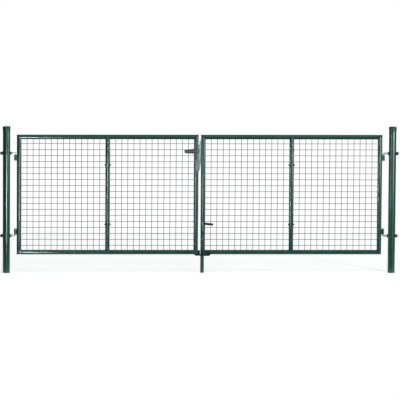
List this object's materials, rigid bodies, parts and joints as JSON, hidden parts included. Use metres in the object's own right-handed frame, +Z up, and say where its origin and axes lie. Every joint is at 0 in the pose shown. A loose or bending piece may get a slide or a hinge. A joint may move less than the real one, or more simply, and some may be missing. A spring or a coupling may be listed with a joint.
{
  "type": "double-leaf mesh field gate",
  "caption": "Double-leaf gate of welded wire mesh in round tube frames, hung on two capped round posts, with a lever lock, key cylinder and drop bolt.",
  "frame": {"origin": "centre of the left post's foot, at the height where both posts and the ground socket end", "axes": "+X along the gateway to the right post, +Z up the posts, -Y the front: the left leaf opens towards it and the right leaf away from it"},
  "size_m": [3.31, 0.1098, 1.22],
  "materials": {
    "wire": "powder coated welded wire",
    "green_coat": "moss green powder coat",
    "cap_plastic": "moulded dark green cap",
    "zinc": "zinc plated steel",
    "dark_steel": "dark coated steel",
    "black_plastic": "moulded black plastic",
    "lever_metal": "satin cast lever",
    "brass": "satin brass"
  },
  "bodies": {
    "posts": {"left_post": "green_coat", "right_post": "green_coat", "left_post_cap": "cap_plastic", "right_post_cap": "cap_plastic", "upper_left_hook": "zinc", "lower_left_hook": "zinc", "upper_right_hook": "zinc", "lower_right_hook": "zinc", "outer_hook_nuts": "dark_steel", "inner_hook_nuts": "dark_steel", "saddle_washers": "dark_steel", "ground_socket": "green_coat", "ground_stop": "green_coat"},
    "left_leaf": {"left_hinge_stile": "green_coat", "left_meeting_stile": "green_coat", "left_top_rail": "green_coat", "left_bottom_rail": "green_coat", "left_middle_bar": "green_coat", "left_outer_mesh": "wire", "left_inner_mesh": "wire", "upper_left_barrel": "green_coat", "lower_left_barrel": "green_coat", "left_bar_bolts": "dark_steel", "left_bar_nuts": "dark_steel", "lock_case": "zinc", "lock_forend": "zinc", "front_rose": "black_plastic", "back_rose": "black_plastic", "front_escutcheon": "zinc", "back_escutcheon": "zinc", "key_cylinder": "brass", "cylinder_screw": "zinc", "lever_spring": "zinc"},
    "lever_set": {"front_lever": "lever_metal", "back_lever": "lever_metal", "spindle": "zinc", "lock_follower": "zinc"},
    "latch": {"latch_bolt": "zinc"},
    "key_set": {"cylinder_plug": "brass", "key": "zinc"},
    "deadbolt": {"deadbolt": "zinc"},
    "right_leaf": {"right_hinge_stile": "green_coat", "right_meeting_stile": "green_coat", "right_top_rail": "green_coat", "right_bottom_rail": "green_coat", "right_middle_bar": "green_coat", "right_outer_mesh": "wire", "right_inner_mesh": "wire", "upper_right_barrel": "green_coat", "lower_right_barrel": "green_coat", "right_bar_bolts": "dark_steel", "right_bar_nuts": "dark_steel", "keeper": "zinc", "rod_guides": "black_plastic"},
    "drop_rod": {"drop_rod": "zinc"},
    "drop_handle": {"drop_handle": "black_plastic"}
  },
  "joints": [
    {"name": "left_leaf_swing", "type": "hinge", "parent": "posts", "child": "left_leaf", "pos_m": [0.074, 0, 0], "axis": [0, 0, -1], "range_deg": [0, 100]},
    {"name": "right_leaf_swing", "type": "hinge", "parent": "posts", "child": "right_leaf", "pos_m": [3.116, 0, 0], "axis": [0, 0, -1], "range_deg": [0, 100]},
    {"name": "lever_turn", "type": "hinge", "parent": "left_leaf", "child": "lever_set", "pos_m": [1.578, 0, 1.015], "axis": [0, -1, 0], "range_deg": [0, 35], "stiffness_Nm_per_rad": 1.2, "springref_deg": -22.92},
    {"name": "latch_slide", "type": "slide", "parent": "left_leaf", "child": "latch", "axis": [-1, 0, 0], "range_m": [0, 0.01]},
    {"name": "key_turn", "type": "hinge", "parent": "left_leaf", "child": "key_set", "pos_m": [1.578, 0, 0.923], "axis": [0, 1, 0], "range_deg": [0, 360]},
    {"name": "deadbolt_slide", "type": "slide", "parent": "left_leaf", "child": "deadbolt", "axis": [1, 0, 0], "range_m": [0, 0.02]},
    {"name": "rod_drop", "type": "slide", "parent": "right_leaf", "child": "drop_rod", "axis": [0, 0, -1], "range_m": [0, 0.045]},
    {"name": "handle_turn", "type": "hinge", "parent": "drop_rod", "child": "drop_handle", "pos_m": [1.624, 0, 0.411], "axis": [0, 0, -1], "range_deg": [0, 40]}
  ],
  "couplings": [
    {"joint": "latch_slide", "follows": "lever_turn", "m_per_rad": 0.01637},
    {"joint": "key_turn", "follows": "deadbolt_slide", "rad_per_m": 314.16}
  ]
}
